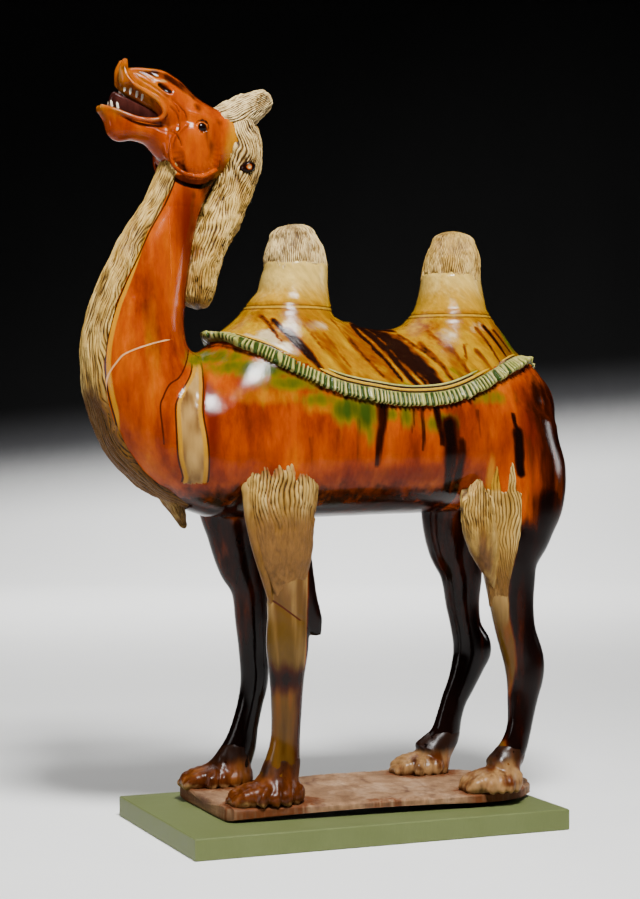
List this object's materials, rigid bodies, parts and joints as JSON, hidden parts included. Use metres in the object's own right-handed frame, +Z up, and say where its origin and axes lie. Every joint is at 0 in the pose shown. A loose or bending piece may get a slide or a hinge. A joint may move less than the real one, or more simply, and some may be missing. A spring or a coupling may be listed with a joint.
{
  "type": "sancai camel figure",
  "caption": "Standing two-humped camel in lead-glazed pottery, head raised and mouth open, with a pleated saddle cloth, on its fired slab and a painted board.",
  "frame": {"origin": "middle of the board's underside, where the object stands", "axes": "+Z up; the camel looks towards -X and its left side faces -Y"},
  "size_m": [0.5917, 0.275, 0.8661],
  "materials": {
    "camel_figure": "glossy amber, straw and green lead glazes, run together",
    "plinth_board": "satin paint, olive green"
  },
  "bodies": {
    "root": {"camel_figure": "camel_figure", "plinth_board": "plinth_board"}
  },
  "joints": []
}
